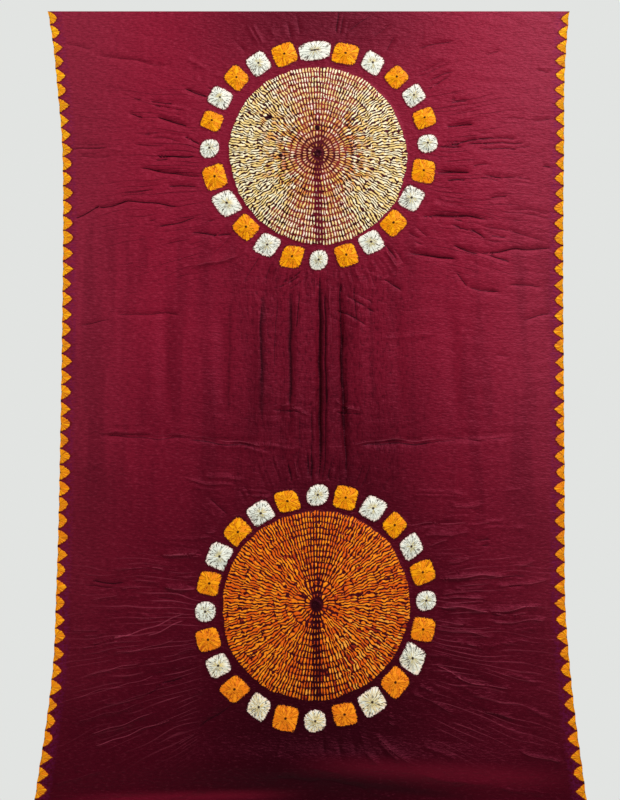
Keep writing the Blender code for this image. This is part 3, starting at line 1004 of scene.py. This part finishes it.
def ground(tree, x, z):
    """The plain maroon cloth: darker in the middle, and towards the hem partly by its dye and partly by
    painted shade, with painted highlights and shade on its creases, crinkle and folds, and its crinkle.
    """
    line = mesh_value(tree, "line")
    cloudy = noise(tree, (x, z), 6.0, 2.0)
    middle = step(abs(x - 0.01), 0.32, 0.03)
    # Darker towards the hem: partly the dye, partly painted shade where the satin's sheen fades down the
    # cloth
    dye_and_shade_depth = step(z * -1.0 + (cloudy - 0.5) * 0.24, 0.35, 1.38)
    # Painted shadow: darker along the top edge in the middle of the cloth
    top_edge_shadow = step(z, -0.14, -0.02)
    # Painted shade of soft upright folds: faint dark bands between the two medallions' heights
    bands = noise(tree, (x, z * 0.10), 27.0, 2.0)
    upright_fold_shade = step(bands, 0.56, 0.34) * step(abs(z + 0.62), 0.34, 0.18)
    between = step(abs(x - 0.02), 0.24, 0.08) * step(abs(z + 0.64), 0.26, 0.15)
    level = noise(tree, (x * 0.35, z), 340.0, 2.0, 0.6)
    upright = noise(tree, (x, z * 0.35), 230.0, 2.0, 0.6)
    crinkle = level + (upright - level) * between * 0.6
    facets = abs(noise(tree, (x * 0.42, z), 30.0, 2.0) - 0.5)
    thin = thin_creases(tree, x, z)
    # Painted highlight on crease ridges and painted shade in tucks, from the mesh's line and the thin
    # creases
    ridge = step(line, 0.45, 1.00) * 0.30 + thin * 0.20
    tuck_shade = step(line, -0.08, -0.75) * 0.88 - thin * 0.55
    # Painted highlight on the crinkle's crests, fading towards the hem
    shine = step(crinkle, 0.56, 0.80) * (1.0 - dye_and_shade_depth * 0.7) * 0.13
    colour = layers(
        tree, WINE,
        (DEEP_WINE, dye_and_shade_depth * 0.76 + 0.22),
        # Darker in the middle, with the painted shadow along the top edge there
        (DEEPEST_WINE, middle * (dye_and_shade_depth * 0.76 + top_edge_shadow * 0.36 + 0.26)),
        # Painted sheen: a lighter, pinker veil on both sides of the upper cloth
        (SHEEN_WINE, step(abs(x), 0.24, 0.42) * (1.0 - dye_and_shade_depth) * 0.28),
        (DEEPEST_WINE, upright_fold_shade * 0.22),
        # Painted shade in the crinkle's hollows, stronger between the medallions
        (DEEPEST_WINE, step(crinkle, 0.54, 0.30) * (0.24 + between * 0.28)),
        (HIGHLIGHT_WINE, ridge + shine),
        (NEAR_BLACK, tuck_shade),
        *((band.colour, hem_band(band, x, z) * band.share) for band in HEM_BANDS),
    )
    relief = crinkle * (between * 0.0005 + 0.0009) + facets * 0.0028 + thin * THIN_RISE
    return colour, relief


def polar(x, z, centre_x, centre_z):
    """The angle from the top and the distance, round a centre."""
    dx = x - centre_x
    dz = z - centre_z
    return dx.math("ARCTAN2", dz), (dx * dx + dz * dz).math("SQRT")


# What the stitching gives at each point: how strong its dash is, whether the last ring still holds
# it, how far out it is as a share and in metres, a lot drawn for each dash, slow and patchy noise,
# faint arcs, how far the dashes run together at the sides, and the dark stripe down the middle
Stitch = namedtuple("Stitch", "dash within share reach lot slow patchy arcs sideways stripe")


def puckers(tree, x, z, stitching):
    """The stitched puckers of a disc: radial dashes in rings, which run together at both sides."""
    medallion = stitching.medallion
    turn, reach = polar(x, z, medallion.x, medallion.z)
    drawn = ((turn - radians(stitching.drawn_turn)) * 2.0).math("COSINE") * 0.5 + 0.5
    rim = (turn * 2.0).math("COSINE") * medallion.tall + medallion.disc_radius
    share = reach / (rim - drawn * stitching.drawn_in)
    waves = noise(tree, (x, z), 78.0, 1.0)
    slow = noise(tree, (x, z), 17.0, 1.0)
    sideways = abs(turn.math("SINE")) - stitching.upright + (slow - 0.5) * 0.4
    sideways = step(sideways, -0.25, 0.25) * step(share - stitching.ringed, -0.15, 0.15)
    ring = share * STITCH_RINGS + (slow - 0.5) * 0.7 + (waves - 0.5) * 0.5
    in_ring = abs(ring.math("FRACT") - 0.5)
    zone = ((ring + (waves - 0.5) * (sideways + 1.2) * 1.6 - 1.0) / ZONE_RINGS).math("FLOOR")
    zone_ring = (zone * ZONE_RINGS + 2.5).math("MAXIMUM", 1.0)
    own_ring = ring.math("FLOOR") + 0.5
    zone_ring = zone_ring + (own_ring - zone_ring) * ring.math("LESS_THAN", stitching.own_rings)
    per_ring = 2 * pi * medallion.disc_radius / STITCH_RINGS / PUCKER_PITCH
    count = (zone_ring * per_ring).math("ROUND")
    wander = (waves - 0.5) * (0.5 + sideways * stitching.wander)
    cell = (turn / (2 * pi) + 0.5) * count + wander + zone_ring * 0.37
    in_cell = abs(cell.math("FRACT") - 0.5)
    lot = chance(tree, cell.math("FLOOR"), ring.math("FLOOR"))
    fat = noise(tree, (x, z), 130.0, 1.0)
    patchy = noise(tree, (x, z), 62.0, 1.0)
    arcs = noise(tree, (turn * 0.5, ring.math("FLOOR") * 0.41), 3.2, 1.0)
    stripe = step(abs(x - medallion.x - 0.001 + (slow - 0.5) * 0.008), *STRIPE_HALF)
    below = step(z - medallion.z + (slow - 0.5) * 0.10, 0.03, -0.01)
    stripe = stripe * (below * 0.6 + 0.4 * step(patchy + below, 0.42, 0.60))
    across = (in_cell / ((0.14 + fat * 0.34 + sideways * 0.02) * (1.0 - stripe * 0.35))) ** 2.0
    along = (in_ring / (0.47 - stripe * 0.14 - step(share, 0.40, 0.10) * 0.08)) ** 2.6
    merged = sideways * step(waves, 0.26, 0.50) * stitching.merge
    flecks = step(noise(tree, (x, z), 150.0, 1.0), 0.38, 0.27)
    dash = step(across + along * (1.0 - merged) + flecks * 0.7, 1.20, 0.52)
    within = step(ring, STITCH_RINGS - 0.02, STITCH_RINGS - 0.12) * step(share, 1.018, 1.008)
    return Stitch(dash, within, share, reach, lot, slow, patchy, arcs, sideways, stripe)


def on_ground(tree, x, z, stitch, colour):
    """A disc's colour with its dark middle, on the plain cloth, and the relief of both."""
    base, relief = ground(tree, x, z)
    core = step(stitch.reach, CORE_RADIUS * 1.3, CORE_RADIUS * 0.8)
    colour = layers(tree, colour, (NEAR_BLACK, core))
    colour = blend(tree, base, colour, stitch.within)
    return colour, relief + stitch.dash * stitch.within * DASH_RISE


def upper_disc(tree, x, z):
    """The cream disc: cream and pink dashes outside, tan and brick ones inside, maroon between."""
    stitch = puckers(tree, x, z, UPPER_STITCHING)
    share, lot, patchy = stitch.share, stitch.lot, stitch.patchy
    tints = noise(tree, (x, z), 95.0, 1.0)
    inner = step(share + (stitch.slow - 0.5) * 0.40, 0.80, 0.38)
    core = step(stitch.reach, 0.046, 0.012)
    faded = step(stitch.arcs, 0.44, 0.30) * (0.06 + inner * 0.34)
    strength = stitch.dash * (1.0 - stitch.stripe * 0.45) * (1.0 - core * 0.35) * (1.0 - faded)
    light = layers(
        tree, CREAM,
        (PINK_WHITE, step(lot, 0.45, 0.60) * (1.0 - stitch.sideways)),
        (STRAW, step(tints + (lot - 0.5) * 0.3, 0.38, 0.60) * (0.74 + inner * 0.24)),
        (TAN, inner * step(tints - (lot - 0.5) * 0.3, 0.44, 0.62) * 0.7),
        (DEEP_ORANGE, inner * step(patchy, 0.56, 0.72) * 0.55),
        (ROSE, step(share, 0.34, 0.16) * 0.7),
    )
    colour = layers(
        tree, BRICK,
        (UMBER, step(stitch.sideways + (patchy - 0.5) * 2.0, -0.1, 0.5)),
        (WET_WINE, stitch.stripe * 0.9),
        (DRIED_WINE, core * 0.9),
        (TAN, step(strength, 0.08, 0.42) * 0.55),
        (light, step(strength, 0.30, 0.70)),
    )
    for stain in UPPER_STAINS:
        _, away = polar(x, z, stain.x, stain.z)
        soaked = step(away + (patchy - 0.5) * 0.006, stain.radius, stain.radius * 0.6)
        colour = blend(tree, colour, NEAR_BLACK, soaked)
    return on_ground(tree, x, z, stitch, colour)


def lower_disc(tree, x, z):
    """The orange disc: orange dashes edged with rust on near-black maroon."""
    stitch = puckers(tree, x, z, LOWER_STITCHING)
    share, lot, patchy = stitch.share, stitch.lot, stitch.patchy
    core = step(stitch.reach, 0.017, 0.007)
    right_low = step((x - LOWER.x) - (z - LOWER.z) * 0.8, 0.03, 0.10) * step(z - LOWER.z, 0.01, -0.04)
    beaded = right_low * step(share, 0.15, 0.4)
    strength = stitch.dash * (1.0 - stitch.stripe * 0.45) * (1.0 - core * 0.8)
    strength = strength * (1.0 - step(lot, 0.70, 0.98) * (0.25 + beaded * 0.40))
    gone = step(patchy, 0.36, 0.26) * 0.50
    strength = strength * (1.0 - gone - step(stitch.arcs, 0.34, 0.26) * 0.35)
    light = layers(
        tree, LOW_ORANGE,
        (DEEP_ORANGE, step(lot + (patchy - 0.5) * 0.8, 0.10, 0.85)),
        (STRAW, beaded * step(lot, 0.30, 0.10) * 0.25),
    )
    colour = layers(
        tree, DRIED_WINE,
        (NEAR_BLACK, (stitch.stripe + beaded * 0.5).math("MINIMUM", 1.0) * 0.8),
        (RUST, step(strength, 0.05, 0.38)),
        (light, step(strength, 0.32, 0.70)),
    )
    return on_ground(tree, x, z, stitch, colour)


def squares_of(medallion, seed):
    """The paint of a ring of tied squares, white and orange in turn, with ragged edges and painted shade
    along their pucker wrinkles.
    """

    def paint(tree, x, z):
        base, base_relief = ground(tree, x, z)
        turn, reach = polar(x, z, medallion.x, medallion.ring_z)
        sway = ((turn - radians(medallion.sway_turn)) * medallion.lobes).math("COSINE")
        even_turn = turn - radians(RING_TURN) - sway * radians(medallion.sway)
        index = (even_turn * (SQUARES / (2 * pi))).math("ROUND")
        own_turn = index * (2 * pi / SQUARES)
        swell = ((own_turn - radians(medallion.lobe_turn)) * medallion.lobes).math("COSINE")
        ring = swell * medallion.lobe + medallion.ring_radius
        lot = chance(tree, index, seed)
        other_lot = chance(tree, index, seed + 7.0)
        off = even_turn - own_turn
        across = reach * off.math("SINE") + (lot - 0.5) * 0.003
        out = reach * off.math("COSINE") - ring - other_lot * 0.0020
        across = across + out * (lot - 0.5) * 0.24
        out = out - across * (other_lot - 0.5) * 0.20
        round_one = abs((index / ROUND_SQUARE_EVERY).math("ROUND") * ROUND_SQUARE_EVERY - index)
        round_one = step(round_one, 0.6, 0.4)
        top_one = step(abs(index), 0.6, 0.4) * (medallion.top_stretch - 1.0)
        half = (1.0 - round_one) * (SQUARE_SIDE / 2) + round_one * (ROUND_SQUARE_SIDE / 2)
        half = half * (0.87 + other_lot * 0.11)
        power = 4.5 - round_one * 2.2
        edge = (abs(across) / (half * (1.0 + top_one))) ** power + (abs(out) / half) ** power
        edge = edge ** (1.0 / power)
        edge = edge + (noise(tree, (x, z), 380.0, 1.0) - 0.5) * 0.22
        inside_it = step(edge, 1.04, 0.97)
        way = across.math("ARCTAN2", out)
        round_way = (way.math("SINE") * 2.6, way.math("COSINE") * 2.6, edge * 0.9 + index)
        rays = noise(tree, round_way, 1.5, 1.0)
        fine_rays = noise(tree, round_way, 2.8, 0.0)
        # Thin dark lines along the pucker wrinkles: painted shade, with a little relief
        thin = step(abs(rays - 0.5), 0.034, 0.008) * step(edge, 0.10, 0.35)
        thin = thin.math("MAXIMUM", step(fine_rays, 0.26, 0.20) * step(edge, 0.35, 0.75))
        reach_own = (across * across + out * out).math("SQRT")
        dot = step(reach_own, *KNOT_DOT)
        slit = step(abs(across), *TOP_SLIT) * step(abs(out), *TOP_SLIT_HEIGHT) * top_one * 1.6
        dot = dot.math("MAXIMUM", slit)
        is_orange = step(abs((index * 0.5).math("FRACT")), 0.2, 0.3)
        # Yellowish wedges round the tie, near the middle of each white square
        straw_wedges = step(rays, 0.60, 0.40) * step(reach_own, 0.013, 0.003)
        # On orange, painted shade: deep orange wedges between the puckers and rust lines along their
        # wrinkles
        warm = layers(
            tree, ORANGE,
            (LOW_ORANGE, step(z, -0.90, -1.15) * 0.9),
            (DEEP_ORANGE, step(rays, 0.54, 0.38) * 0.45),
            (RUST, thin * 0.85),
        )
        tied = layers(
            tree, WHITE,
            (PUCKER_STRAW, straw_wedges * 0.8),
            (STRAW, step(z, -1.04, -1.20) * step(fine_rays, 0.60, 0.45) * 0.55),
            (PINK_WHITE, step(edge, 0.82, 0.98) * 0.7),
            (PUCKER_SHADE_GREY, thin * 0.90),
            (warm, is_orange),
            (NEAR_BLACK, dot * 0.95),
        )
        dark_edge = step(edge, 1.20, 1.02) * 0.55
        colour = layers(tree, base, (NEAR_BLACK, dark_edge), (tied, inside_it))
        return colour, base_relief + (rays * 0.0012 - thin * 0.0005) * inside_it

    return paint


def border(tree, x, z):
    """The side edges: tied yellow half squares with painted shade along their wrinkles, a dark line
    round each and a plum strip inside.
    """
    base, base_relief = ground(tree, x, z)
    inward = mesh_value(tree, "inward")
    right = x.math("GREATER_THAN", 0.0)
    along = z * (-1.0 / SCALLOP_PITCH)
    index = along.math("FLOOR")
    lot = chance(tree, index, right)
    other_lot = chance(tree, index, right + 5.0)
    off = along.math("FRACT") - 0.5 + (lot - 0.5) * 0.10
    a = abs(off) / 0.46
    b = inward.math("MAXIMUM", 0.0) / (SCALLOP_DEPTH * (0.88 + other_lot * 0.24))
    power = 1.05 + lot * 0.50
    edge = (a ** power + b ** power) ** (1.0 / power)
    edge = edge + (noise(tree, (x, z), 340.0, 1.0) - 0.5) * 0.24
    way = (inward / SCALLOP_PITCH).math("ARCTAN2", off)
    rays = noise(tree, (way * 3.0, index * 3.7), 1.8, 1.0)
    thin = step(abs(rays - 0.5), 0.075, 0.020) * step(edge, 0.15, 0.40)
    # Painted shade along the wrinkles: deep orange wedges and bronze lines
    warm = layers(
        tree, YELLOW,
        (AMBER, step(z * -1.0, 0.10, 0.90)),
        (DEEP_ORANGE, step(rays, 0.52, 0.36) * 0.6),
        (BRONZE, thin * 0.90),
    )
    tie = step(((off * SCALLOP_PITCH) ** 2.0 + inward * inward).math("SQRT"), *SCALLOP_DOT)
    notch = step(abs(off), 0.42, 0.49)
    patchy = noise(tree, (x, z), 210.0, 2.0)
    colour = layers(
        tree, base,
        (PLUM, step(inward, *PLUM_STRIP) * step(patchy, 0.35, 0.65) * 0.42),
        (DRIED_RED, step(edge, 1.30, 1.04) * 0.9),
        (warm, step(edge, 1.03, 0.95)),
        (NEAR_BLACK, tie * 0.8),
        (UMBER, notch * step(inward, 0.004, 0.001) * 0.8),
    )
    return colour, base_relief + rays * step(edge, 1.1, 0.9) * 0.0014


# The stage


def soft_light(name, place, power):
    """A square soft light at a place, aimed at the middle of the cloth."""
    lamp = bpy.data.lights.new(name, "AREA")
    lamp.energy = power
    lamp.size = LIGHT_SIZE
    holder = put(name, lamp)
    holder.location = place
    holder.rotation_euler = (Vector(LIGHT_AIM) - Vector(place)).to_track_quat("-Z", "Y").to_euler()


def pale_world():
    """A pale backdrop that lights the cloth less than it shows."""
    world = bpy.data.worlds.new("studio")
    world.use_nodes = True
    tree = world.node_tree
    background = tree.nodes["Background"]
    background.inputs["Color"].default_value = BACKDROP
    seen = Number(tree, tree.nodes.new("ShaderNodeLightPath").outputs["Is Camera Ray"])
    feed(tree, background.inputs["Strength"], seen * (1.0 - FILL) + FILL)
    bpy.context.scene.world = world


def floor():
    """A pale floor below the hem."""
    half = FLOOR_SIZE / 2
    mesh = bpy.data.meshes.new("floor")
    corners = [(-half, -half, 0), (half, -half, 0), (half, half, 0), (-half, half, 0)]
    mesh.from_pydata(corners, [], [(0, 1, 2, 3)])
    material = bpy.data.materials.new("floor")
    material.use_nodes = True
    shader = material.node_tree.nodes["Principled BSDF"]
    shader.inputs["Base Color"].default_value = FLOOR_GREY
    shader.inputs["Roughness"].default_value = 0.8
    mesh.materials.append(material)
    ground_floor = put("floor", mesh)
    ground_floor.location = (0.0, 0.0, -FLOOR_DROP)


def camera():
    """The camera: level with the lower medallion, looking up a little at the middle of what shows."""
    pitch = radians(VIEW_PITCH)
    lens = bpy.data.cameras.new("camera")
    lens.lens = LENS
    lens.sensor_width = SENSOR
    holder = put("camera", lens)
    holder.location = (VIEW_CENTRE[0],
                       VIEW_CENTRE[1] - VIEW_DISTANCE * cos(pitch),
                       VIEW_CENTRE[2] - VIEW_DISTANCE * sin(pitch))
    holder.rotation_euler = (pi / 2 + pitch, 0.0, 0.0)
    bpy.context.scene.camera = holder


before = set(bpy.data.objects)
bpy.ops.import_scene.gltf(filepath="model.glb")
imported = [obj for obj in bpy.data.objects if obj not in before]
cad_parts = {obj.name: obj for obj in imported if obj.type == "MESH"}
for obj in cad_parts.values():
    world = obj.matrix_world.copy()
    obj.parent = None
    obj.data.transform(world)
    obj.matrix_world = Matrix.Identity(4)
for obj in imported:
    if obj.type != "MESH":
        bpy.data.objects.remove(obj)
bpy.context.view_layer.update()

paints = (ground, border, upper_disc, squares_of(UPPER, 3.0), lower_disc, squares_of(LOWER, 21.0))
cloth = cloth_sheet([silk("silk_" + name, paint) for name, paint in zip(REGIONS, paints)])
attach(cloth, "root")
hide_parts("cloth")

bpy.context.scene.view_settings.view_transform = "Standard"
pale_world()
floor()
soft_light("key", KEY_PLACE, KEY_POWER)
soft_light("back", BACK_PLACE, BACK_POWER)
camera()
